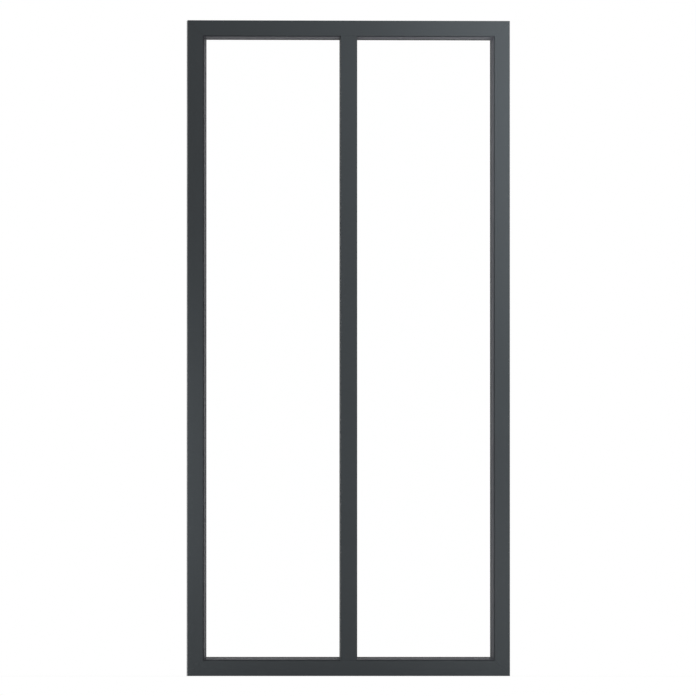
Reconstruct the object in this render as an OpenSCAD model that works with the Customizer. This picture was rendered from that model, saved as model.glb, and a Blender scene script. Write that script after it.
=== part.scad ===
// Interior glass partition: a slim aluminium frame with one central mullion
// and two full-height panes, dry glazed with snap-in beads and rubber gaskets.
//
// The origin is the middle of the flat underside of the sill. +Z points up,
// +X to the right seen from the front, and the front faces -Y.
// In every bar section, x is the depth (front negative) and y runs from the
// outer face of the frame in towards the glass.

/* [Overall] */
// Width over the jambs
overall_w = 640; // [500:10:1400]
// Height from the underside of the sill to the top of the head
overall_h = 1300; // [900:10:2600]
// Depth of the frame from front face to rear face
frame_depth = 40; // [38:0.5:50]

/* [Frame section] */
// Width of the sill, head and jambs seen from the front
face_w = 30.5; // [29:0.5:45]
// Wall thickness of the frame and mullion extrusions
wall = 2; // [1.6:0.1:2.4]
// Clear height of the hollow between the two webs
chamber_h = 12; // [9:0.5:14]
// Radius of the outer edges of the extrusions
edge_r = 0.5; // [0.4:0.1:1.2]
// Radius of the inner corners of the extrusions
fillet_r = 0.5; // [0.2:0.1:0.8]
// Reach of the hook at the tip of each leg, in from the leg
hook_reach = 1.4; // [1:0.1:1.8]
// Height of the hook at the tip of each leg
hook_h = 2.5; // [1.5:0.1:3.5]
// Width of the ribs that form the clip channel of a bead
rib_w = 1; // [0.8:0.1:1.4]
// Height of the clip channel ribs
rib_h = 2.5; // [1.5:0.1:3.5]

/* [Glazing beads] */
// Wall thickness of the beads
bead_wall = 1.4; // [1:0.1:1.8]
// Distance of the bead's front wall behind the face of the frame
bead_setback = 7; // [6:0.1:8]
// Distance of the bead's crest behind the face of the frame
bead_crest = 3.2; // [3:0.1:5]
// Width of the flat on that crest
crest_w = 0.6; // [0.6:0.1:1.4]
// Width of the shadow groove between the leg and the bead's crest
bead_groove = 1.4; // [0.8:0.1:2.4]
// Width of the crest and the sloped face of the bead, seen from the front
bead_slope = 4.9; // [3:0.1:6]
// Height of the nib that catches under the hook
nib_h = 1.8; // [1.2:0.1:2.4]

/* [Glass and gaskets] */
// Thickness of the panes
glass_t = 6; // [4:0.5:8]
// Radius of the ground corners of a pane
glass_corner_r = 2; // [1:0.5:5]
// Depth of pane covered at the sill, head and jambs
pane_cover = 13; // [11:0.5:15]
// Depth of pane covered at the mullion
mullion_cover = 8.2; // [7:0.2:10]
// Thickness of a gasket, from the glass to the bead
gasket_t = 3.2; // [2.8:0.1:4]
// Width of a gasket along the glass
gasket_w = 8; // [6.5:0.5:8.5]
// Width of gasket that shows past the bead and past the mullion
gasket_show = 1.2; // [0.8:0.1:2]
// Length of the setting blocks under a pane
setting_block_l = 60; // [40:5:80]
// Length of the location blocks beside a pane
location_block_l = 40; // [30:5:60]

/* [Mullion] */
// Width of the mullion seen from the front
mullion_w = 32.5; // [30:0.5:40]
// Thickness of the web between the two glazing slots
mullion_web = 3; // [2:0.5:4]
// Inner radius of the screw ports
port_r = 1.8; // [1.6:0.1:2.2]
// Wall thickness of the screw ports
port_wall = 1.7; // [1.2:0.1:2]
// Width of the slit along a screw port
port_slit = 1.4; // [1:0.1:2]

/* [Fixings] */
// Diameter of the fixing holes in the outer web
fixing_d = 5.5; // [4.5:0.5:6.5]
// Diameter of the holes that a screw head passes through
access_d = 9.4; // [8:0.2:9.4]
// Diameter of the holes for the screws that hold the mullion
mullion_screw_d = 4.4; // [4:0.2:5]
// Distance of the outer fixings of a jamb from its ends
jamb_fixing_end = 120; // [100:5:180]
// Distance between the inner fixings of a jamb
jamb_fixing_pitch = 360; // [200:10:500]
// Distance between the fixings of the sill, and of the head
sill_fixing_pitch = 320; // [200:10:340]
// Length of each arm of the corner cleats
cleat_arm = 60; // [45:5:80]
// Thickness of the walls of the corner cleats
cleat_wall = 3; // [2:0.5:4]

/* [Clearances] */
// Between the corner cleats and the walls beside them
cleat_gap = 0.9; // [0.8:0.05:1.2]
// Between the ends of two bars that meet at a mitre
mitre_gap = 0.1; // [0.05:0.05:0.3]
// Between a bead and the mullion, and between the mullion and the hooks
end_gap = 0.2; // [0.1:0.05:0.3]
// Between a bead's foot and the ribs of its clip channel
clip_gap = 0.4; // [0.3:0.05:0.5]
// Between the bulb on a bead's foot and the ribs
bulb_gap = 0.15; // [0.05:0.05:0.2]
// Between a bead's nib and the hook above it, and the leg beside it
nib_gap = 0.3; // [0.1:0.05:0.5]
// Between the glass blocks and the ribs beside them
block_gap = 0.8; // [0.5:0.1:1]

/* [Hidden] */
$fn = 48;

// Overrun of a cutting shape past the surface it cuts
cut = 1;
// Half depth of the frame, and the inside of its legs
half_depth = frame_depth / 2;
leg_inside = half_depth - wall;
hook_inside = leg_inside - hook_reach;
// The floor of the glazing rebate, measured in from the outer face
rebate_floor = 2 * wall + chamber_h;
// Half width of the pocket that holds the glass and its two gaskets
pocket = glass_t / 2 + gasket_t;
// The bead: its front wall, its crest and its nose
bead_front = half_depth - bead_setback;
crest_front = half_depth - bead_crest;
crest_low = face_w + bead_groove;
slope_start = crest_low + crest_w;
bead_nose = crest_low + bead_slope;
bead_back = pocket + bead_wall;
nib_low = face_w - hook_h - nib_gap - nib_h;
bulb_r = bead_wall / 2 + clip_gap - bulb_gap;
// Clip channel ribs on each side of the bead's foot
rib_glass_side = pocket - clip_gap - rib_w;
rib_face_side = bead_back + clip_gap;
// The edge of the clear glass, and the edges of the pane behind it
sight_line = bead_nose + gasket_show;
pane_edge = sight_line - pane_cover;
mullion_half = mullion_w / 2;
mullion_sight = mullion_half + gasket_show;
pane_mullion_edge = mullion_sight - mullion_cover;
block_h = pane_edge - rebate_floor;
block_half = rib_glass_side - block_gap;
// The pane of one bay
pane_w = overall_w / 2 - pane_edge - pane_mullion_edge;
pane_h = overall_h - 2 * pane_edge;
pane_x = (overall_w / 2 - pane_edge + pane_mullion_edge) / 2;
// The gasket loop of one bay, measured over its outer edges
loop_edge = sight_line - gasket_w;
loop_mullion_edge = mullion_sight - gasket_w;
loop_w = overall_w / 2 - loop_edge - loop_mullion_edge;
loop_h = overall_h - 2 * loop_edge;
loop_x = (overall_w / 2 - loop_edge + loop_mullion_edge) / 2;
// Middle of a screw port, and of the frame's height
port_y = pocket + wall / 2 + port_wall + port_r;
mid_h = overall_h / 2;

// Finish colours
coat = [0.25, 0.26, 0.27];
mill_finish = [0.72, 0.73, 0.75];
rubber = [0.05, 0.05, 0.055];
block_grey = [0.42, 0.43, 0.45];
clear_glass = [0.85, 0.92, 0.92, 0.35];

// A rectangle from one corner to the other, with round corners
module soft_rect(low, high, r) {
    translate([low.x + r, low.y]) square([high.x - low.x - 2 * r, high.y - low.y]);
    translate([low.x, low.y + r]) square([high.x - low.x, high.y - low.y - 2 * r]);
    for (x = [low.x + r, high.x - r], y = [low.y + r, high.y - r])
        translate([x, y]) circle(r);
}

// Both halves of a section that is the same at the front and the rear
module both_faces() {
    children();
    mirror([1, 0]) children();
}

// The extruded section of the sill, head and jambs: two webs with a hollow
// between them, two legs with hooked tips, and the clip channels of the beads
module frame_section() {
    difference() {
        soft_rect([-half_depth, 0], [half_depth, face_w], edge_r);
        soft_rect([-leg_inside, wall], [leg_inside, wall + chamber_h], fillet_r);
        soft_rect([-leg_inside, rebate_floor], [leg_inside, face_w + 2 * cut], fillet_r);
    }
    both_faces() {
        soft_rect([hook_inside, face_w - hook_h], [leg_inside + wall / 2, face_w], fillet_r);
        clip_rib(rib_glass_side);
        clip_rib(rib_face_side);
    }
}

// One rib of a clip channel, with a round top
module clip_rib(depth) {
    translate([depth, rebate_floor - wall / 2]) square([rib_w, rib_h + wall / 2 - rib_w / 2]);
    translate([depth + rib_w / 2, rebate_floor + rib_h - rib_w / 2]) circle(rib_w / 2);
}

// The section of a rear bead: a crest and a sloped face on two walls. The outer
// wall has the nib that catches under the hook, and the shadow groove lies
// between the hook and the crest. The inner wall stands in the clip channel
module bead_section() {
    rise = (bead_nose - slope_start) / (crest_front - bead_back);
    skin = bead_wall * sqrt(1 + rise * rise);
    wall_inside = bead_front - bead_wall;
    polygon([
        [bead_front, nib_low],
        [bead_front, crest_low],
        [crest_front, crest_low],
        [crest_front, slope_start],
        [bead_back, bead_nose],
        [pocket, bead_nose],
        [pocket, rebate_floor],
        [bead_back, rebate_floor],
        [bead_back, bead_nose - skin],
        [wall_inside, slope_start + rise * (crest_front - wall_inside) - skin],
        [wall_inside, nib_low],
    ]);
    nib_reach = leg_inside - nib_gap - bead_front;
    translate([bead_front - bead_wall / 2, nib_low]) square([nib_reach + bead_wall / 2, nib_h]);
    translate([pocket + bead_wall / 2, rebate_floor + bulb_r]) circle(bulb_r);
}

// The section of a rear gasket, flat on the glass and on the bead, with a
// round lip at its visible edge
module gasket_section() {
    lip_r = gasket_t / 2;
    translate([glass_t / 2, 0]) square([gasket_t, gasket_w - lip_r]);
    translate([glass_t / 2 + lip_r, gasket_w - lip_r]) circle(lip_r);
}

// The section of the mullion, in plan: a hollow at the front and the rear,
// a web between the glazing slots, and a screw port in each hollow
module mullion_section() {
    difference() {
        soft_rect([-mullion_half, -half_depth], [mullion_half, half_depth], edge_r);
        for (side = [-1, 1]) {
            translate([side * (mullion_half + mullion_web / 2 + cut) / 2, 0])
                square([mullion_half + cut - mullion_web / 2, 2 * pocket], center = true);
            mirror([0, side > 0 ? 0 : 1]) mullion_hollow();
        }
    }
    for (side = [0, 1])
        mirror([0, side]) screw_port();
}

// The hollow behind one face of the mullion
module mullion_hollow() {
    soft_rect([wall - mullion_half, pocket + wall], [mullion_half - wall, leg_inside], fillet_r);
}

// A slit tube on the slot wall of the mullion that takes a screw from the end
module screw_port() {
    difference() {
        translate([0, port_y]) circle(port_r + port_wall);
        translate([0, port_y]) circle(port_r);
        translate([-port_slit / 2, port_y]) square([port_slit, port_r + port_wall + cut]);
    }
}

// A bar along X that carries a section, cut at 45 degrees at both ends, short
// of the corner by half the gap between two bars. The cutter runs past the
// section's outer face and past its reach inwards
module mitred_bar(length, reach, gap) {
    end = (length - gap * sqrt(2)) / 2;
    low = end + cut;
    high = end - reach - cut;
    intersection() {
        rotate([90, 0, 90]) linear_extrude(length, center = true) children();
        rotate([90, 0, 0]) linear_extrude(frame_depth + 2 * cut, center = true)
            polygon([[-low, -cut], [low, -cut], [high, reach + cut], [-high, reach + cut]]);
    }
}

// Places a bar on one side of an upright rectangle with its section inwards
module on_side(side, x, w, h) {
    if (side == "bottom") translate([x, 0, mid_h - h / 2]) children();
    if (side == "top") translate([x, 0, mid_h + h / 2]) mirror([0, 0, 1]) children();
    if (side == "left") translate([x - w / 2, 0, mid_h]) rotate([0, 90, 0]) children();
    if (side == "right") translate([x + w / 2, 0, mid_h]) rotate([0, -90, 0]) children();
}

// Turns the rear half of the glazing into the front half
module to_face(face) {
    mirror([0, face == "front" ? 1 : 0, 0]) children();
}

// Turns the right bay into the left one
module to_bay(bay) {
    mirror([bay == "left" ? 1 : 0, 0, 0]) children();
}

// A frame member with its row of fixing holes, each with a wider hole in the
// inner web that lets the screw head and the driver through
module frame_member(length, fixings) {
    difference() {
        mitred_bar(length, face_w, mitre_gap) frame_section();
        for (x = fixings) translate([x, 0, 0]) {
            translate([0, 0, -cut]) cylinder(d = fixing_d, h = wall + 2 * cut);
            translate([0, 0, rebate_floor - wall - cut]) cylinder(d = access_d, h = wall + rib_h + 2 * cut);
        }
    }
}

// The sill and the head: the ribs are milled away under the mullion, and two
// screws pass up through the inner web into its ports
module sill_member() {
    milled_w = mullion_w + 2 * end_gap;
    difference() {
        frame_member(overall_w, [-sill_fixing_pitch / 2, sill_fixing_pitch / 2]);
        translate([-milled_w / 2, -hook_inside, rebate_floor])
            cube([milled_w, 2 * hook_inside, rib_h + cut]);
        for (y = [-port_y, port_y]) translate([0, y, 0]) {
            translate([0, 0, -cut]) cylinder(d = access_d, h = wall + 2 * cut);
            translate([0, 0, rebate_floor - wall - cut]) cylinder(d = mullion_screw_d, h = wall + 2 * cut);
        }
    }
}

module jamb_member() {
    outer = mid_h - jamb_fixing_end;
    inner = jamb_fixing_pitch / 2;
    frame_member(overall_h, [-outer, -inner, inner, outer]);
}

module frame_sill() {
    color(coat) on_side("bottom", 0, overall_w, overall_h) sill_member();
}

module frame_head() {
    color(coat) on_side("top", 0, overall_w, overall_h) sill_member();
}

module frame_left_jamb() {
    color(coat) on_side("left", 0, overall_w, overall_h) jamb_member();
}

module frame_right_jamb() {
    color(coat) on_side("right", 0, overall_w, overall_h) jamb_member();
}

// The mullion stands on the floors of the sill and head. Its ends are coped,
// so that its faces stop square on the tips of their legs
module mullion() {
    coped = hook_inside - end_gap;
    length = overall_h - 2 * rebate_floor;
    shoulder = face_w - rebate_floor;
    color(coat) difference() {
        translate([0, 0, rebate_floor]) linear_extrude(length) mullion_section();
        for (z = [rebate_floor - cut, overall_h - face_w], side = [-1, 1])
            translate([-mullion_half - cut, side > 0 ? coped : -half_depth - cut, z])
                cube([mullion_w + 2 * cut, half_depth + cut - coped, shoulder + cut]);
    }
}

// An extruded corner cleat that fills the hollows of two members: two arms at
// a right angle, each with an open pocket along it
module cleat(side_x, side_z) {
    outer = wall;
    inner = rebate_floor - wall - cleat_gap;
    thick = inner - outer;
    pocket_h = thick - 2 * cleat_wall;
    pocket_l = cleat_arm - thick - 2 * cleat_wall;
    half_y = leg_inside - cleat_gap;
    mirror([side_x > 0 ? 1 : 0, 0, 0])
        translate([-overall_w / 2, 0, side_z > 0 ? overall_h : 0])
        mirror([0, 0, side_z > 0 ? 1 : 0])
        color(mill_finish) rotate([90, 0, 0]) linear_extrude(2 * half_y, center = true) difference() {
            translate([outer, outer]) square(cleat_arm);
            translate([inner, inner]) square(cleat_arm);
            translate([inner + cleat_wall, outer + cleat_wall]) square([pocket_l, pocket_h]);
            translate([outer + cleat_wall, inner + cleat_wall]) square([pocket_h, pocket_l]);
        }
}

module cleat_lower_left() { cleat(-1, -1); }
module cleat_lower_right() { cleat(1, -1); }
module cleat_upper_left() { cleat(-1, 1); }
module cleat_upper_right() { cleat(1, 1); }

// One pane of toughened glass
module pane(bay) {
    color(clear_glass) to_bay(bay) translate([pane_x, 0, mid_h]) rotate([90, 0, 0])
        linear_extrude(glass_t, center = true)
        soft_rect([-pane_w / 2, -pane_h / 2], [pane_w / 2, pane_h / 2], glass_corner_r);
}

module pane_left() { pane("left"); }
module pane_right() { pane("right"); }

// A snap-in bead: mitred against the next one, square against the mullion
module bead(face, bay, side) {
    start = mullion_half + end_gap;
    color(coat) to_bay(bay) to_face(face) intersection() {
        on_side(side, 0, overall_w, overall_h)
            mitred_bar(side == "right" ? overall_h : overall_w, bead_nose, mitre_gap) bead_section();
        translate([start, -half_depth, 0]) cube([overall_w / 2 - start, frame_depth, overall_h]);
    }
}

module bead_front_left_sill() { bead("front", "left", "bottom"); }
module bead_front_left_head() { bead("front", "left", "top"); }
module bead_front_left_jamb() { bead("front", "left", "right"); }
module bead_front_right_sill() { bead("front", "right", "bottom"); }
module bead_front_right_head() { bead("front", "right", "top"); }
module bead_front_right_jamb() { bead("front", "right", "right"); }
module bead_rear_left_sill() { bead("rear", "left", "bottom"); }
module bead_rear_left_head() { bead("rear", "left", "top"); }
module bead_rear_left_jamb() { bead("rear", "left", "right"); }
module bead_rear_right_sill() { bead("rear", "right", "bottom"); }
module bead_rear_right_head() { bead("rear", "right", "top"); }
module bead_rear_right_jamb() { bead("rear", "right", "right"); }

// A gasket that runs once round a pane on one face
module gasket(face, bay) {
    color(rubber) to_bay(bay) to_face(face) {
        for (side = ["bottom", "top"])
            on_side(side, loop_x, loop_w, loop_h) mitred_bar(loop_w, gasket_w, 0) gasket_section();
        for (side = ["left", "right"])
            on_side(side, loop_x, loop_w, loop_h) mitred_bar(loop_h, gasket_w, 0) gasket_section();
    }
}

module gasket_front_left() { gasket("front", "left"); }
module gasket_front_right() { gasket("front", "right"); }
module gasket_rear_left() { gasket("rear", "left"); }
module gasket_rear_right() { gasket("rear", "right"); }

// Two blocks that carry a pane, at the quarter points of its lower edge
module setting_blocks(bay) {
    color(block_grey) to_bay(bay) for (side = [-1, 1])
        translate([pane_x + side * pane_w / 4 - setting_block_l / 2, -block_half, rebate_floor])
            cube([setting_block_l, 2 * block_half, block_h]);
}

module setting_blocks_left() { setting_blocks("left"); }
module setting_blocks_right() { setting_blocks("right"); }

// Two blocks that hold a pane off its jamb, at the quarter points of its side
module location_blocks(bay) {
    color(block_grey) to_bay(bay) for (side = [-1, 1])
        translate([overall_w / 2 - pane_edge, -block_half, mid_h + side * pane_h / 4 - location_block_l / 2])
            cube([block_h, 2 * block_half, location_block_l]);
}

module location_blocks_left() { location_blocks("left"); }
module location_blocks_right() { location_blocks("right"); }

frame_sill();
frame_head();
frame_left_jamb();
frame_right_jamb();
mullion();
cleat_lower_left();
cleat_lower_right();
cleat_upper_left();
cleat_upper_right();
pane_left();
pane_right();
bead_front_left_sill();
bead_front_left_head();
bead_front_left_jamb();
bead_front_right_sill();
bead_front_right_head();
bead_front_right_jamb();
bead_rear_left_sill();
bead_rear_left_head();
bead_rear_left_jamb();
bead_rear_right_sill();
bead_rear_right_head();
bead_rear_right_jamb();
gasket_front_left();
gasket_front_right();
gasket_rear_left();
gasket_rear_right();
setting_blocks_left();
setting_blocks_right();
location_blocks_left();
location_blocks_right();
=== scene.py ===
"""Looks of an interior glass partition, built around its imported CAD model.

The CAD nodes stay as they are and take their finishes here. The new pieces are
the screws that hold the mullion and the sealant in the frame's mitres. Every
length is in metres, in the frame of the CAD model: +X to the right seen from the
front, +Z up, and the front faces -Y.
"""

import logging
import math
from abc import ABC, abstractmethod
from collections.abc import Iterable
from dataclasses import dataclass, field
from enum import Enum
from typing import Any

import bpy
import numpy as np
from mathutils import Matrix, Vector


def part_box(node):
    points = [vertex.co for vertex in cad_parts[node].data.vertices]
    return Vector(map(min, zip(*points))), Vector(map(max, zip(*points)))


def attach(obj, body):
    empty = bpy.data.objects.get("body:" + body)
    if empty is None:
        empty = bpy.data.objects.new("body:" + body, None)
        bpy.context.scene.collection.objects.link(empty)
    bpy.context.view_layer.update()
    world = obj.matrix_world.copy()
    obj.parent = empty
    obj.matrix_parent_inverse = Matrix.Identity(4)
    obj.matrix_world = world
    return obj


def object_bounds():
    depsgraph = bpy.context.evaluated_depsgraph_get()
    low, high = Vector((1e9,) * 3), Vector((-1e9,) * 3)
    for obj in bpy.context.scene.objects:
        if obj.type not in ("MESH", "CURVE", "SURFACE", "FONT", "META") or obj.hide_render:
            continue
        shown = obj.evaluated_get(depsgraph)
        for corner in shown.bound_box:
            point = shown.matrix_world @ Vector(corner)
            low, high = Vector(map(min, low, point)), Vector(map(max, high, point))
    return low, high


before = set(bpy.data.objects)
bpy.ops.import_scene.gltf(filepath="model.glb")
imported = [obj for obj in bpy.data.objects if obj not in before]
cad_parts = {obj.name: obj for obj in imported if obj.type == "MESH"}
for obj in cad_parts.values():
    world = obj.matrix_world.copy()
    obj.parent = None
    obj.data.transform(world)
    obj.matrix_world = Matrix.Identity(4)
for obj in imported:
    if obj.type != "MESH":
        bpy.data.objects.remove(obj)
CAD_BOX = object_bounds()

BODY = "root"
MILLIMETRE = 0.001
IMAGE_SIDE_PX = 696
log = logging.getLogger("partition")

Colour = tuple[float, float, float]


class Face(Enum):
    """The two glazed faces of the partition."""

    FRONT = "front"
    REAR = "rear"


class Bay(Enum):
    """The two bays beside the mullion."""

    LEFT = "left"
    RIGHT = "right"


class Edge(Enum):
    """The three framed edges of a bay."""

    SILL = "sill"
    HEAD = "head"
    JAMB = "jamb"


class Slot(Enum):
    """The material slots of the record."""

    FRAME = "coated_frame"
    BEAD = "coated_bead"
    MILL = "mill_aluminium"
    GLASS = "clear_glass"
    RUBBER = "black_rubber"
    BLOCK = "block_plastic"


class Graph:
    """The shader nodes of one material or world, added by short calls."""

    def __init__(self, tree: bpy.types.NodeTree) -> None:
        """Empties a node tree and keeps it.

        Args:
            tree: the tree of a material or world.
        """
        self.tree = tree
        tree.nodes.clear()

    def add(self, kind: str, inputs: dict[str, Any] | None = None, **settings: Any) -> bpy.types.Node:
        """Adds one node.

        Args:
            kind: the node's type name.
            inputs: socket names, each with a constant or with an output socket to link.
            settings: properties of the node itself.

        Returns:
            The new node.
        """
        node = self.tree.nodes.new(kind)
        for name, value in settings.items():
            setattr(node, name, value)
        for name, value in (inputs or {}).items():
            socket = node.inputs[name]
            if isinstance(value, bpy.types.NodeSocket):
                self.tree.links.new(value, socket)
            else:
                socket.default_value = value
        return node

    def place(self, stretch: Colour = (1.0, 1.0, 1.0)) -> bpy.types.NodeSocket:
        """Gives Object coordinates in metres.

        Args:
            stretch: factors on X, Y and Z, where a small one draws a pattern out.

        Returns:
            The vector output.
        """
        coordinates = self.add("ShaderNodeTexCoord").outputs["Object"]
        if stretch == (1.0, 1.0, 1.0):
            return coordinates
        return self.add("ShaderNodeMapping", {"Vector": coordinates, "Scale": stretch}).outputs["Vector"]

    def noise(
        self, per_metre: float, detail: float = 2.0, stretch: Colour = (1.0, 1.0, 1.0)
    ) -> bpy.types.NodeSocket:
        """Adds fractal noise over the piece.

        Args:
            per_metre: how many cells lie along a metre.
            detail: octaves of finer noise.
            stretch: factors on X, Y and Z.

        Returns:
            The noise value, near 0.5 on average.
        """
        texture = self.add(
            "ShaderNodeTexNoise",
            {"Vector": self.place(stretch), "Scale": per_metre, "Detail": detail, "Roughness": 0.5},
        )
        return texture.outputs["Fac"]

    def spread(self, value: bpy.types.NodeSocket, low: float, high: float) -> bpy.types.NodeSocket:
        """Maps noise, which stays mostly between 0.3 and 0.7, to a range.

        Args:
            value: the noise.
            low: the result at 0.3 and below.
            high: the result at 0.7 and above.

        Returns:
            The mapped value.
        """
        mapped = self.add(
            "ShaderNodeMapRange",
            {"Value": value, "From Min": 0.3, "From Max": 0.7, "To Min": low, "To Max": high},
        )
        return mapped.outputs["Result"]

    def blend(self, share: bpy.types.NodeSocket, first: Colour, second: Colour) -> bpy.types.NodeSocket:
        """Mixes two colours.

        Args:
            share: 0 for the first colour and 1 for the second.
            first: linear colour.
            second: linear colour.

        Returns:
            The colour output.
        """
        mix = self.add("ShaderNodeMix", data_type="RGBA")
        self.tree.links.new(share, mix.inputs["Factor"])
        colours = [socket for socket in mix.inputs if socket.type == "RGBA"]
        for socket, colour in zip(colours, (first, second)):
            socket.default_value = (*colour, 1.0)
        return next(socket for socket in mix.outputs if socket.type == "RGBA")

    def bump(
        self, height: bpy.types.NodeSocket, depth: float, normal: bpy.types.NodeSocket | None = None
    ) -> bpy.types.NodeSocket:
        """Turns a height into a bumped normal.

        Args:
            height: the height pattern, from 0 to 1.
            depth: its real depth.
            normal: an earlier bumped normal to add to.

        Returns:
            The normal output.
        """
        node = self.add("ShaderNodeBump", {"Height": height, "Distance": depth, "Strength": 1.0})
        if normal is not None:
            self.tree.links.new(normal, node.inputs["Normal"])
        return node.outputs["Normal"]

    def seen_directly(self) -> bpy.types.NodeSocket:
        """Gives 1 to camera, glossy and transmission rays, and 0 to the rays that light things."""
        path = self.add("ShaderNodeLightPath").outputs
        pair = self.add("ShaderNodeMath", operation="MAXIMUM")
        self.tree.links.new(path["Is Camera Ray"], pair.inputs[0])
        self.tree.links.new(path["Is Glossy Ray"], pair.inputs[1])
        all_three = self.add("ShaderNodeMath", operation="MAXIMUM")
        self.tree.links.new(pair.outputs[0], all_three.inputs[0])
        self.tree.links.new(path["Is Transmission Ray"], all_three.inputs[1])
        return all_three.outputs[0]


def lighter(colour: Colour, factor: float) -> Colour:
    """Scales a linear colour by a factor."""
    return (colour[0] * factor, colour[1] * factor, colour[2] * factor)


class Finish(ABC):
    """A surface finish that makes one material."""

    name: str

    @abstractmethod
    def wire(self, graph: Graph) -> bpy.types.NodeSocket:
        """Adds the finish's nodes and returns the surface shader's output."""

    def make(self) -> bpy.types.Material:
        """Makes the material.

        Returns:
            The new material, named for the finish.
        """
        material = bpy.data.materials.new(self.name)
        material.use_nodes = True
        graph = Graph(material.node_tree)
        output = graph.add("ShaderNodeOutputMaterial")
        material.node_tree.links.new(self.wire(graph), output.inputs["Surface"])
        self.finish_off(graph, output)
        return material

    def finish_off(self, graph: Graph, output: bpy.types.Node) -> None:
        """Adds anything beyond the surface, which most finishes don't have."""


@dataclass(frozen=True)
class PowderCoat(Finish):
    """Satin powder coat: fine grain, orange peel and a faint cloudiness."""

    name: str
    tint: Colour = (0.0310, 0.0362, 0.0398)
    specular: float = 0.26
    roughness: tuple[float, float] = (0.40, 0.50)
    cloud_per_metre: float = 5.0
    cloud_share: float = 0.05
    grain_per_metre: float = 1900.0
    grain_share: float = 0.10
    peel_per_metre: float = 520.0
    peel_depth: float = 0.035 * MILLIMETRE

    def wire(self, graph: Graph) -> bpy.types.NodeSocket:
        """Adds the coat's nodes.

        Args:
            graph: the material's nodes.

        Returns:
            The surface shader's output.
        """
        cloud = graph.noise(self.cloud_per_metre, 3.0)
        grain = graph.noise(self.grain_per_metre, 1.0)
        peel = graph.noise(self.peel_per_metre, 2.0)
        tone = graph.add(
            "ShaderNodeMath",
            operation="ADD",
            use_clamp=True,
        )
        graph.tree.links.new(graph.spread(cloud, 0.0, 0.4), tone.inputs[0])
        graph.tree.links.new(graph.spread(grain, 0.0, 0.6), tone.inputs[1])
        swing = self.cloud_share + self.grain_share
        colour = graph.blend(tone.outputs[0], lighter(self.tint, 1 - swing), lighter(self.tint, 1 + swing))
        shader = graph.add(
            "ShaderNodeBsdfPrincipled",
            {
                "Base Color": colour,
                "Metallic": 0.0,
                "Roughness": graph.spread(cloud, *self.roughness),
                "Specular IOR Level": self.specular,
                "Normal": graph.bump(peel, self.peel_depth),
            },
        )
        return shader.outputs["BSDF"]


@dataclass(frozen=True)
class ClearGlass(Finish):
    """Clear float glass, with a faint green in its depth."""

    name: str = "clear_float_glass"
    index: float = 1.5
    depth_colour: Colour = (0.55, 0.95, 0.86)
    depth_density: float = 0.7
    haze_per_metre: float = 14.0
    haze: float = 0.004

    def wire(self, graph: Graph) -> bpy.types.NodeSocket:
        """Adds the glass, which lets shadow rays pass so that it casts only a faint shadow.

        Args:
            graph: the material's nodes.

        Returns:
            The surface shader's output.
        """
        polish = graph.spread(graph.noise(self.haze_per_metre, 2.0), 0.0, self.haze)
        glass = graph.add(
            "ShaderNodeBsdfPrincipled",
            {
                "Base Color": (1.0, 1.0, 1.0, 1.0),
                "Roughness": polish,
                "IOR": self.index,
                "Transmission Weight": 1.0,
            },
        )
        clear = graph.add("ShaderNodeBsdfTransparent")
        mix = graph.add("ShaderNodeMixShader", {"Fac": graph.add("ShaderNodeLightPath").outputs["Is Shadow Ray"]})
        graph.tree.links.new(glass.outputs["BSDF"], mix.inputs[1])
        graph.tree.links.new(clear.outputs["BSDF"], mix.inputs[2])
        return mix.outputs["Shader"]

    def finish_off(self, graph: Graph, output: bpy.types.Node) -> None:
        """Adds the green that shows only through a long path, as at an edge.

        Args:
            graph: the material's nodes.
            output: the material's output node.
        """
        depth = graph.add(
            "ShaderNodeVolumeAbsorption",
            {"Color": (*self.depth_colour, 1.0), "Density": self.depth_density},
        )
        graph.tree.links.new(depth.outputs["Volume"], output.inputs["Volume"])


@dataclass(frozen=True)
class Rubber(Finish):
    """Extruded gasket rubber: matt, with a fine skin."""

    name: str = "gasket_rubber"
    tint: Colour = (0.030, 0.031, 0.033)
    roughness: tuple[float, float] = (0.55, 0.72)
    skin_per_metre: float = 1400.0
    skin_depth: float = 0.03 * MILLIMETRE

    def wire(self, graph: Graph) -> bpy.types.NodeSocket:
        """Adds the rubber's nodes.

        Args:
            graph: the material's nodes.

        Returns:
            The surface shader's output.
        """
        skin = graph.noise(self.skin_per_metre, 3.0)
        bloom = graph.noise(22.0, 3.0)
        shader = graph.add(
            "ShaderNodeBsdfPrincipled",
            {
                "Base Color": graph.blend(graph.spread(bloom, 0.0, 1.0), self.tint, lighter(self.tint, 1.25)),
                "Roughness": graph.spread(bloom, *self.roughness),
                "Specular IOR Level": 0.35,
                "Normal": graph.bump(skin, self.skin_depth),
            },
        )
        return shader.outputs["BSDF"]


@dataclass(frozen=True)
class MillAluminium(Finish):
    """Plain extruded aluminium, with die lines along the extrusion."""

    name: str = "mill_finish_aluminium"
    tint: Colour = (0.60, 0.61, 0.63)
    line_stretch: Colour = (1.0, 0.01, 1.0)
    lines_per_metre: float = 900.0
    line_depth: float = 0.02 * MILLIMETRE
    roughness: tuple[float, float] = (0.30, 0.48)

    def wire(self, graph: Graph) -> bpy.types.NodeSocket:
        """Adds the metal's nodes.

        Args:
            graph: the material's nodes.

        Returns:
            The surface shader's output.
        """
        lines = graph.noise(self.lines_per_metre, 2.0, self.line_stretch)
        stain = graph.noise(45.0, 3.0)
        shader = graph.add(
            "ShaderNodeBsdfPrincipled",
            {
                "Base Color": graph.blend(graph.spread(stain, 0.0, 1.0), lighter(self.tint, 0.9), self.tint),
                "Metallic": 1.0,
                "Roughness": graph.spread(lines, *self.roughness),
                "Normal": graph.bump(lines, self.line_depth),
            },
        )
        return shader.outputs["BSDF"]


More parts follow.
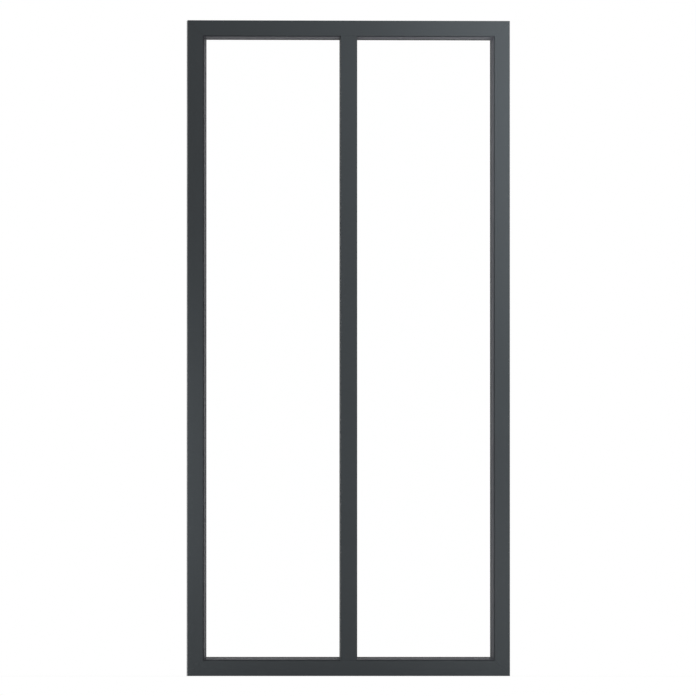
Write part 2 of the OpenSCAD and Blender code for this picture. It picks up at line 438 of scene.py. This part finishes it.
@dataclass(frozen=True)
class BlockPlastic(Finish):
    """Moulded grey plastic of the glazing blocks, with a spark-eroded skin."""

    name: str = "block_plastic"
    tint: Colour = (0.15, 0.16, 0.17)
    skin_per_metre: float = 1600.0
    skin_depth: float = 0.04 * MILLIMETRE

    def wire(self, graph: Graph) -> bpy.types.NodeSocket:
        """Adds the plastic's nodes.

        Args:
            graph: the material's nodes.

        Returns:
            The surface shader's output.
        """
        skin = graph.noise(self.skin_per_metre, 1.0)
        flow = graph.noise(30.0, 2.0)
        shader = graph.add(
            "ShaderNodeBsdfPrincipled",
            {
                "Base Color": graph.blend(graph.spread(flow, 0.0, 1.0), lighter(self.tint, 0.92), self.tint),
                "Roughness": graph.spread(skin, 0.5, 0.62),
                "Specular IOR Level": 0.4,
                "Normal": graph.bump(skin, self.skin_depth),
            },
        )
        return shader.outputs["BSDF"]


@dataclass(frozen=True)
class ZincPlate(Finish):
    """Bright zinc plate on the screws, a little clouded."""

    name: str = "zinc_plate"
    tint: Colour = (0.55, 0.56, 0.58)
    warm: Colour = (0.56, 0.53, 0.47)

    def wire(self, graph: Graph) -> bpy.types.NodeSocket:
        """Adds the plate's nodes.

        Args:
            graph: the material's nodes.

        Returns:
            The surface shader's output.
        """
        cloud = graph.noise(380.0, 3.0)
        shader = graph.add(
            "ShaderNodeBsdfPrincipled",
            {
                "Base Color": graph.blend(graph.spread(cloud, 0.0, 1.0), self.tint, self.warm),
                "Metallic": 1.0,
                "Roughness": graph.spread(cloud, 0.24, 0.42),
            },
        )
        return shader.outputs["BSDF"]


@dataclass(frozen=True)
class PaleFloor(Finish):
    """Pale studio floor that keeps the object's shadow and fades into the white backdrop."""

    name: str = "pale_floor"
    tint: Colour = (0.86, 0.86, 0.86)
    white_share: float = 0.9
    fade_from: float = 0.5
    fade_to: float = 2.6

    def wire(self, graph: Graph) -> bpy.types.NodeSocket:
        """Adds the floor's nodes: diffuse, and white to the rays that see it directly.

        Args:
            graph: the material's nodes.

        Returns:
            The surface shader's output.
        """
        reach = graph.add("ShaderNodeVectorMath", operation="LENGTH")
        graph.tree.links.new(graph.place(), reach.inputs[0])
        share = graph.add(
            "ShaderNodeMapRange",
            {
                "Value": reach.outputs["Value"],
                "From Min": self.fade_from,
                "From Max": self.fade_to,
                "To Min": self.white_share,
                "To Max": 1.0,
            },
            interpolation_type="SMOOTHSTEP",
        )
        white = graph.add("ShaderNodeMath", operation="MULTIPLY")
        graph.tree.links.new(share.outputs["Result"], white.inputs[0])
        graph.tree.links.new(graph.seen_directly(), white.inputs[1])
        grain = graph.spread(graph.noise(60.0, 3.0), 0.0, 1.0)
        pale = graph.add("ShaderNodeBsdfDiffuse", {"Color": graph.blend(grain, lighter(self.tint, 0.98), self.tint)})
        glow = graph.add("ShaderNodeEmission", {"Color": (1.0, 1.0, 1.0, 1.0), "Strength": 1.0})
        mix = graph.add("ShaderNodeMixShader", {"Fac": white.outputs[0]})
        graph.tree.links.new(pale.outputs["BSDF"], mix.inputs[1])
        graph.tree.links.new(glow.outputs["Emission"], mix.inputs[2])
        return mix.outputs["Shader"]


def wrapped_grid(points: np.ndarray, name: str) -> bpy.types.Mesh:
    """Makes a closed mesh from a grid that wraps round in its second direction.

    The first and last rows are each a pole, whose points all fall together and
    become one vertex. The rows between them are joined by quads, and each pole
    by a fan of triangles.

    Args:
        points: array of shape (rows, columns, 3).
        name: name of the mesh.

    Returns:
        The mesh, smooth shaded.
    """
    rows, columns = points.shape[:2]
    body = points[1:-1].reshape(-1, 3)
    vertices = np.vstack([points[0, 0], body, points[-1, 0]])
    index = 1 + np.arange((rows - 2) * columns).reshape(rows - 2, columns)
    nearer, farther = index[:-1], index[1:]
    quads = np.stack(
        [nearer, np.roll(nearer, -1, axis=1), np.roll(farther, -1, axis=1), farther], axis=-1
    ).reshape(-1, 4)
    first, last = index[0], index[-1]
    start = np.stack([np.zeros_like(first), np.roll(first, -1), first], axis=-1)
    end = np.stack([np.full_like(last, len(vertices) - 1), last, np.roll(last, -1)], axis=-1)
    mesh = bpy.data.meshes.new(name)
    mesh.from_pydata(vertices.tolist(), [], quads.tolist() + start.tolist() + end.tolist())
    mesh.validate()
    mesh.update()
    mesh.shade_smooth()
    return mesh


def add_piece(mesh: bpy.types.Mesh, finish: bpy.types.Material) -> bpy.types.Object:
    """Puts a mesh into the scene at the origin.

    Args:
        mesh: a mesh whose place is in its vertices.
        finish: its material.

    Returns:
        The new object, named as its mesh.
    """
    mesh.materials.append(finish)
    piece = bpy.data.objects.new(mesh.name, mesh)
    bpy.context.scene.collection.objects.link(piece)
    return piece


class SubAssembly(ABC):
    """A group of pieces that belong together."""

    @abstractmethod
    def nodes(self) -> Iterable[str]:
        """Gives the names of the CAD nodes that the group dresses."""

    @abstractmethod
    def finish(self) -> bpy.types.Material:
        """Gives the finish of those nodes."""

    def dress(self) -> None:
        """Assigns the finish to the material slots of each of the group's CAD nodes."""
        finish = self.finish()
        for name in self.nodes():
            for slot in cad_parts[name].material_slots:
                slot.material = finish
            low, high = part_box(name)
            size = " x ".join(f"{length * 1000:.1f}" for length in high - low)
            log.info("%s: %s mm, %s", name, size, finish.name)


@dataclass
class PerimeterFrame(SubAssembly):
    """The mitred sill, head and jambs."""

    coat: PowderCoat = field(default_factory=lambda: PowderCoat("frame_powder_coat"))

    def nodes(self) -> Iterable[str]:
        """Gives the four members."""
        return ("frame_sill", "frame_head", "frame_left_jamb", "frame_right_jamb", "mullion")

    def finish(self) -> bpy.types.Material:
        """Gives the powder coat of the members."""
        return self.coat.make()


@dataclass
class GlazingBeads(SubAssembly):
    """The snap-in beads at the sill, head and jamb of each bay, front and rear."""

    # Painted light: the beads share the frame's coat, but this tint is lighter and bluer than the frame's to paint
    # the light that their sloped lips catch.
    coat: PowderCoat = field(
        default_factory=lambda: PowderCoat(
            "bead_coat_with_painted_light", tint=(0.048, 0.050, 0.058), specular=0.4, cloud_per_metre=7.0
        )
    )

    def nodes(self) -> Iterable[str]:
        """Gives the twelve beads."""
        return (
            f"bead_{face.value}_{bay.value}_{edge.value}" for face in Face for bay in Bay for edge in Edge
        )

    def finish(self) -> bpy.types.Material:
        """Gives the powder coat of the beads, its tint lightened as painted light."""
        return self.coat.make()


@dataclass
class Gaskets(SubAssembly):
    """The rubber loops on both faces of each pane."""

    rubber: Rubber = field(default_factory=Rubber)

    def nodes(self) -> Iterable[str]:
        """Gives the four loops."""
        return (f"gasket_{face.value}_{bay.value}" for face in Face for bay in Bay)

    def finish(self) -> bpy.types.Material:
        """Gives the rubber."""
        return self.rubber.make()


@dataclass
class Panes(SubAssembly):
    """The two sheets of glass."""

    glass: ClearGlass = field(default_factory=ClearGlass)

    def nodes(self) -> Iterable[str]:
        """Gives the two panes."""
        return (f"pane_{bay.value}" for bay in Bay)

    def finish(self) -> bpy.types.Material:
        """Gives the glass."""
        return self.glass.make()


@dataclass
class GlassBlocks(SubAssembly):
    """The setting and location blocks that hold the panes clear of the metal."""

    plastic: BlockPlastic = field(default_factory=BlockPlastic)

    def nodes(self) -> Iterable[str]:
        """Gives the four sets of blocks."""
        return (f"{kind}_blocks_{bay.value}" for kind in ("setting", "location") for bay in Bay)

    def finish(self) -> bpy.types.Material:
        """Gives the plastic."""
        return self.plastic.make()


@dataclass
class CornerCleats(SubAssembly):
    """The extruded angles in the hollows of the frame's corners."""

    metal: MillAluminium = field(default_factory=MillAluminium)

    def nodes(self) -> Iterable[str]:
        """Gives the four cleats."""
        return (f"cleat_{level}_{bay.value}" for level in ("lower", "upper") for bay in Bay)

    def finish(self) -> bpy.types.Material:
        """Gives the metal."""
        return self.metal.make()


@dataclass
class MullionScrews:
    """The four pan head tapping screws that hold the mullion to the sill and head.

    Each goes in through the wide hole in the outer web, its head seats on the
    inner web, and its thread runs in the screw port at the end of the mullion.
    """

    head_radius: float = 4.0 * MILLIMETRE
    head_height: float = 3.0 * MILLIMETRE
    recess_reach: float = 2.3 * MILLIMETRE
    recess_depth: float = 1.9 * MILLIMETRE
    wing_half: float = 0.55 * MILLIMETRE
    core_radius: float = 1.55 * MILLIMETRE
    crest_radius: float = 2.08 * MILLIMETRE
    pitch: float = 1.4 * MILLIMETRE
    length: float = 22.0 * MILLIMETRE
    tip: float = 3.5 * MILLIMETRE
    seat: float = 14.0 * MILLIMETRE
    port_y: float = 10.7 * MILLIMETRE
    around: int = 96
    turns_per_row: float = 1 / 10
    plate: ZincPlate = field(default_factory=ZincPlate)

    def head_rows(self, angle: np.ndarray) -> np.ndarray:
        """Works out the head from the middle of its recess to the shank.

        The head is a flat dome: its height above the seat is the full height
        times the fourth root of one minus the radius over the head's radius, to
        the fourth power. The recess is a cross: at each point, the smaller of the
        distances to the two middle lines of the cross gives a wall that falls
        smoothly over a fifth of the wing's width, and it ends at the recess's reach.

        Args:
            angle: the angles of the columns.

        Returns:
            Array of shape (rows, columns, 3), with z from -head_height to 0.
        """
        share = np.concatenate([np.linspace(0.0, 0.98, 44), 1 - 0.02 * np.linspace(1, 0, 7)[1:] ** 2])
        radius = self.head_radius * share[:, None]
        x = radius * np.cos(angle)
        y = radius * np.sin(angle)
        off_line = np.minimum(np.abs(x), np.abs(y))
        wing = np.clip((self.wing_half - off_line) / (0.2 * self.wing_half) + 0.5, 0.0, 1.0)
        inside = np.clip((self.recess_reach - radius) / (0.25 * self.recess_reach), 0.0, 1.0)
        sunk = self.recess_depth * wing * np.sqrt(inside)
        dome = self.head_height * (1 - share[:, None] ** 4) ** 0.25
        top = np.stack([x, y, sunk - dome + 0 * x], axis=-1)
        under = self.head_radius + (self.core_radius - self.head_radius) * np.linspace(0.25, 1.0, 4)
        flat = np.stack(
            [under[:, None] * np.cos(angle), under[:, None] * np.sin(angle), 0 * under[:, None] * angle], axis=-1
        )
        return np.concatenate([top, flat])

    def thread_rows(self, angle: np.ndarray) -> np.ndarray:
        """Works out the threaded shank and its point.

        The radius is the core's plus the thread's depth times a narrow ridge, and
        the ridge is at its top where the height over the pitch, less the angle
        over a full turn, is a whole number. Both run out towards the point.

        Args:
            angle: the angles of the columns.

        Returns:
            Array of shape (rows, columns, 3), with z from 0 to the length.
        """
        z = np.arange(0.0, self.length, self.pitch * self.turns_per_row)[1:, None]
        phase = z / self.pitch - angle / (2 * math.pi)
        ridge = np.clip(1 - 3.2 * np.abs(phase - np.round(phase)), 0.0, 1.0)
        taper = np.sqrt(np.clip((self.length - z) / self.tip, 0.0, 1.0))
        run_in = np.clip(z / self.pitch - 0.6, 0.0, 1.0)
        radius = taper * (self.core_radius + (self.crest_radius - self.core_radius) * ridge * run_in)
        return np.stack([radius * np.cos(angle), radius * np.sin(angle), z + 0 * radius], axis=-1)

    def screw(self, name: str, port: Vector, downwards: bool) -> bpy.types.Object:
        """Builds one screw in its place.

        Args:
            name: name of the piece.
            port: the point on the inner web where its axis crosses the head's seat.
            downwards: True for a screw in the head, which points down.

        Returns:
            The screw.
        """
        angle = np.linspace(0.0, 2 * math.pi, self.around, endpoint=False)
        point = np.zeros((1, self.around, 3))
        point[..., 2] = self.length
        points = np.concatenate([self.head_rows(angle), self.thread_rows(angle), point])
        mesh = wrapped_grid(points, name)
        turn = Matrix.Rotation(math.pi if downwards else 0.0, 4, "X")
        mesh.transform(Matrix.Translation(port) @ turn)
        return add_piece(mesh, self.plate.make())

    def build(self) -> list[bpy.types.Object]:
        """Builds the four screws.

        Returns:
            The screws, each riding on the frame.
        """
        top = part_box("frame_head")[1].z
        screws = []
        for face, side in ((Face.FRONT, -1), (Face.REAR, 1)):
            for end, z, downwards in (("sill", self.seat, False), ("head", top - self.seat, True)):
                port = Vector((0.0, side * self.port_y, z))
                screws.append(self.screw(f"mullion_screw_{end}_{face.value}", port, downwards))
        for piece in screws:
            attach(piece, BODY)
            log.info("%s: %d faces", piece.name, len(piece.data.polygons))
        return screws


@dataclass
class MitreSeals:
    """The sealant in the hairline gap at each mitre of the frame.

    It follows the front wall, the outer web and the rear wall, a little under
    their surfaces, so that no light shows through the joint.
    """

    reach: float = 30.3 * MILLIMETRE
    wall_middle: float = 1.0 * MILLIMETRE
    half_width: float = 0.8 * MILLIMETRE
    half_thickness: float = 0.049 * MILLIMETRE
    bend: float = 0.9 * MILLIMETRE
    straight_rows: int = 30
    bend_rows: int = 9
    around: int = 16
    sealant: Rubber = field(
        default_factory=lambda: Rubber("joint_sealant", tint=(0.026, 0.029, 0.031), skin_depth=0.01 * MILLIMETRE)
    )

    def middle_line(self) -> np.ndarray:
        """Works out the seal's middle line in the plane of the mitre.

        It runs along the middle of the front wall, round a quarter circle, and
        along the middle of the outer web to half the depth. The rest mirrors it.

        Returns:
            Array of shape (rows, 2): the inset from the frame's outer edges, and Y.
        """
        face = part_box("frame_sill")[1].y - self.wall_middle
        turn = np.linspace(0.0, math.pi / 2, self.bend_rows)
        wall = np.linspace(self.reach, self.wall_middle + self.bend, self.straight_rows)[:-1]
        web = np.linspace(self.bend - face, 0.0, self.straight_rows)[1:]
        half = np.concatenate(
            [
                np.stack([wall, np.full_like(wall, -face)], axis=-1),
                np.stack(
                    [
                        self.wall_middle + self.bend * (1 - np.sin(turn)),
                        self.bend * (1 - np.cos(turn)) - face,
                    ],
                    axis=-1,
                ),
                np.stack([np.full_like(web, self.wall_middle), web], axis=-1),
            ]
        )
        return np.concatenate([half, half[-2::-1] * (1, -1)])

    def seal(self, name: str, right: int, up: int) -> bpy.types.Object:
        """Builds the seal of one corner.

        Across the middle line, the section is a flat rounded bar: the half
        width times the square root of the cosine, and the half thickness times
        the square root of the sine, each with its own sign. The thickness lies
        along the mitre's normal, and the inset moves a point along X and Z alike.

        Args:
            name: name of the piece.
            right: 1 for a right corner and -1 for a left one.
            up: 1 for an upper corner and -1 for a lower one.

        Returns:
            The seal.
        """
        line = self.middle_line()
        along = np.gradient(line, axis=0)
        aside = along[:, ::-1] * (-1, 1) / np.linalg.norm(along, axis=1, keepdims=True)
        angle = np.linspace(0.0, 2 * math.pi, self.around, endpoint=False)
        wide = self.half_width * np.sign(np.cos(angle)) * np.sqrt(np.abs(np.cos(angle)))
        thick = self.half_thickness * np.sign(np.sin(angle)) * np.sqrt(np.abs(np.sin(angle)))
        spots = line[:, None, :] + aside[:, None, :] * wide[None, :, None]
        low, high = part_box("frame_sill")[0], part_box("frame_head")[1]
        edge_z = high.z if up > 0 else low.z
        x = right * (high.x - spots[..., 0]) + up * thick / math.sqrt(2)
        z = edge_z - up * spots[..., 0] - right * thick / math.sqrt(2)
        rows = np.stack([x, spots[..., 1], z], axis=-1)
        ends = rows[[0, -1]].mean(axis=1, keepdims=True).repeat(self.around, axis=1)
        points = np.concatenate([ends[:1], rows, ends[1:]])
        return add_piece(wrapped_grid(points, name), self.sealant.make())

    def build(self) -> list[bpy.types.Object]:
        """Builds the four seals.

        Returns:
            The seals, each riding on the frame.
        """
        seals = [
            self.seal(f"mitre_seal_{level}_{bay.value}", right, up)
            for level, up in (("lower", -1), ("upper", 1))
            for bay, right in ((Bay.LEFT, -1), (Bay.RIGHT, 1))
        ]
        for piece in seals:
            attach(piece, BODY)
            log.info("%s: %d faces", piece.name, len(piece.data.polygons))
        return seals


@dataclass(frozen=True)
class SoftLamp:
    """A soft rectangular lamp, which lights the object without showing or shining in it."""

    name: str
    place: Colour
    aim: Colour
    size: tuple[float, float]
    watts: float

    def hang(self) -> None:
        """Hangs the lamp so that it faces the point it is aimed at."""
        data = bpy.data.lights.new(self.name, "AREA")
        data.shape = "RECTANGLE"
        data.size, data.size_y = self.size
        data.energy = self.watts
        lamp = bpy.data.objects.new(self.name, data)
        lamp.location = self.place
        lamp.rotation_euler = (Vector(self.aim) - Vector(self.place)).to_track_quat("-Z", "Y").to_euler()
        lamp.visible_camera = False
        lamp.visible_glossy = False
        lamp.visible_transmission = False
        bpy.context.scene.collection.objects.link(lamp)
        log.info("%s: %.1f W", self.name, self.watts)


@dataclass
class Studio:
    """The pale floor, the white backdrop and the soft lamps.

    A tall key lamp stands in front of the right side and is turned a little
    away from the object, and two small fills light its lower corners.
    """

    floor_radius: float = 7.0
    front_level: float = 0.22
    side_level: float = 0.95
    floor: PaleFloor = field(default_factory=PaleFloor)
    key: SoftLamp = SoftLamp("key_lamp", (0.42, -0.87, 1.21), (1.24, 0.0, 1.57), (0.3, 1.24), 27.5)
    left_fill: SoftLamp = SoftLamp("left_fill_lamp", (-0.57, -0.45, 0.42), (-0.57, 0.0, 0.42), (0.25, 0.3), 2.5)
    right_fill: SoftLamp = SoftLamp("right_fill_lamp", (0.32, -0.5, 0.2), (0.32, 0.0, 0.2), (0.25, 0.3), 0.9)

    def lay_floor(self) -> bpy.types.Object:
        """Lays the floor, a flat disc of rings round the origin, each ring twice as wide as the last.

        Returns:
            The floor.
        """
        angle = np.linspace(0.0, 2 * math.pi, 96, endpoint=False)
        radius = self.floor_radius * np.array([0.0, 0.06, 0.12, 0.25, 0.5, 1.0])[:, None]
        top = np.stack([radius * np.cos(angle), radius * np.sin(angle), 0 * radius * angle], axis=-1)
        under = top[::-1] - (0.0, 0.0, 0.02)
        floor = add_piece(wrapped_grid(np.concatenate([top, under])[:, ::-1], "studio_floor"), self.floor.make())
        floor.data.shade_flat()
        return floor

    def hang_backdrop(self) -> None:
        """Makes the world white where it is seen. What only lights is dimmer in front of the object."""
        world = bpy.data.worlds.new("white_studio")
        world.use_nodes = True
        bpy.context.scene.world = world
        graph = Graph(world.node_tree)
        towards = graph.add("ShaderNodeTexCoord").outputs["Generated"]
        depth = graph.add("ShaderNodeSeparateXYZ", {"Vector": towards}).outputs["Y"]
        level = graph.add(
            "ShaderNodeMapRange",
            {
                "Value": depth,
                "From Min": -1.0,
                "From Max": 0.0,
                "To Min": self.front_level,
                "To Max": self.side_level,
            },
            interpolation_type="SMOOTHSTEP",
        )
        strength = graph.add(
            "ShaderNodeMapRange",
            {"Value": graph.seen_directly(), "To Min": level.outputs["Result"], "To Max": 1.0},
        )
        sky = graph.add(
            "ShaderNodeBackground", {"Color": (1.0, 1.0, 1.0, 1.0), "Strength": strength.outputs["Result"]}
        )
        output = graph.add("ShaderNodeOutputWorld")
        world.node_tree.links.new(sky.outputs["Background"], output.inputs["Surface"])

    def light(self) -> None:
        """Hangs the three lamps."""
        for lamp in (self.key, self.left_fill, self.right_fill):
            lamp.hang()


@dataclass
class FrontCamera:
    """The camera of the photograph: far away, a little to the left and below."""

    distance: float = 30.0
    yaw_deg: float = 3.3
    pitch_deg: float = 1.2
    view_width: float = 1.3810
    object_px: tuple[float, float] = (348.30, 348.36)
    sensor: float = 36.0

    def place(self) -> bpy.types.Object:
        """Places the camera so that the object's middle falls on its pixel.

        Returns:
            The camera, set as the scene's camera.
        """
        low, high = CAD_BOX
        yaw, pitch = math.radians(self.yaw_deg), math.radians(self.pitch_deg)
        ahead = Vector((math.sin(yaw) * math.cos(pitch), math.cos(yaw) * math.cos(pitch), math.sin(pitch)))
        turn = ahead.to_track_quat("-Z", "Y")
        across, upward = turn @ Vector((1, 0, 0)), turn @ Vector((0, 1, 0))
        per_px = self.view_width / IMAGE_SIDE_PX
        off_x = (self.object_px[0] - IMAGE_SIDE_PX / 2) * per_px
        off_y = (self.object_px[1] - IMAGE_SIDE_PX / 2) * per_px
        data = bpy.data.cameras.new("front_camera")
        data.sensor_width = self.sensor
        data.lens = self.sensor * self.distance / self.view_width
        data.clip_start, data.clip_end = 0.1, 100.0
        camera = bpy.data.objects.new("front_camera", data)
        camera.location = (low + high) / 2 - ahead * self.distance - across * off_x + upward * off_y
        camera.rotation_euler = turn.to_euler()
        bpy.context.scene.collection.objects.link(camera)
        bpy.context.scene.camera = camera
        log.info("camera: lens %.0f mm at %.1f m, height %.3f m", data.lens, self.distance, camera.location.z)
        return camera


def main() -> None:
    """Dresses the CAD nodes, adds the new pieces, and sets up the studio and the camera."""
    logging.basicConfig(level=logging.INFO, format="%(message)s")
    for group in (PerimeterFrame(), GlazingBeads(), Gaskets(), Panes(), GlassBlocks(), CornerCleats()):
        group.dress()
    MullionScrews().build()
    MitreSeals().build()
    studio = Studio()
    studio.lay_floor()
    studio.hang_backdrop()
    studio.light()
    FrontCamera().place()
    bpy.context.scene.view_settings.view_transform = "Standard"


if __name__ == "__main__":
    main()
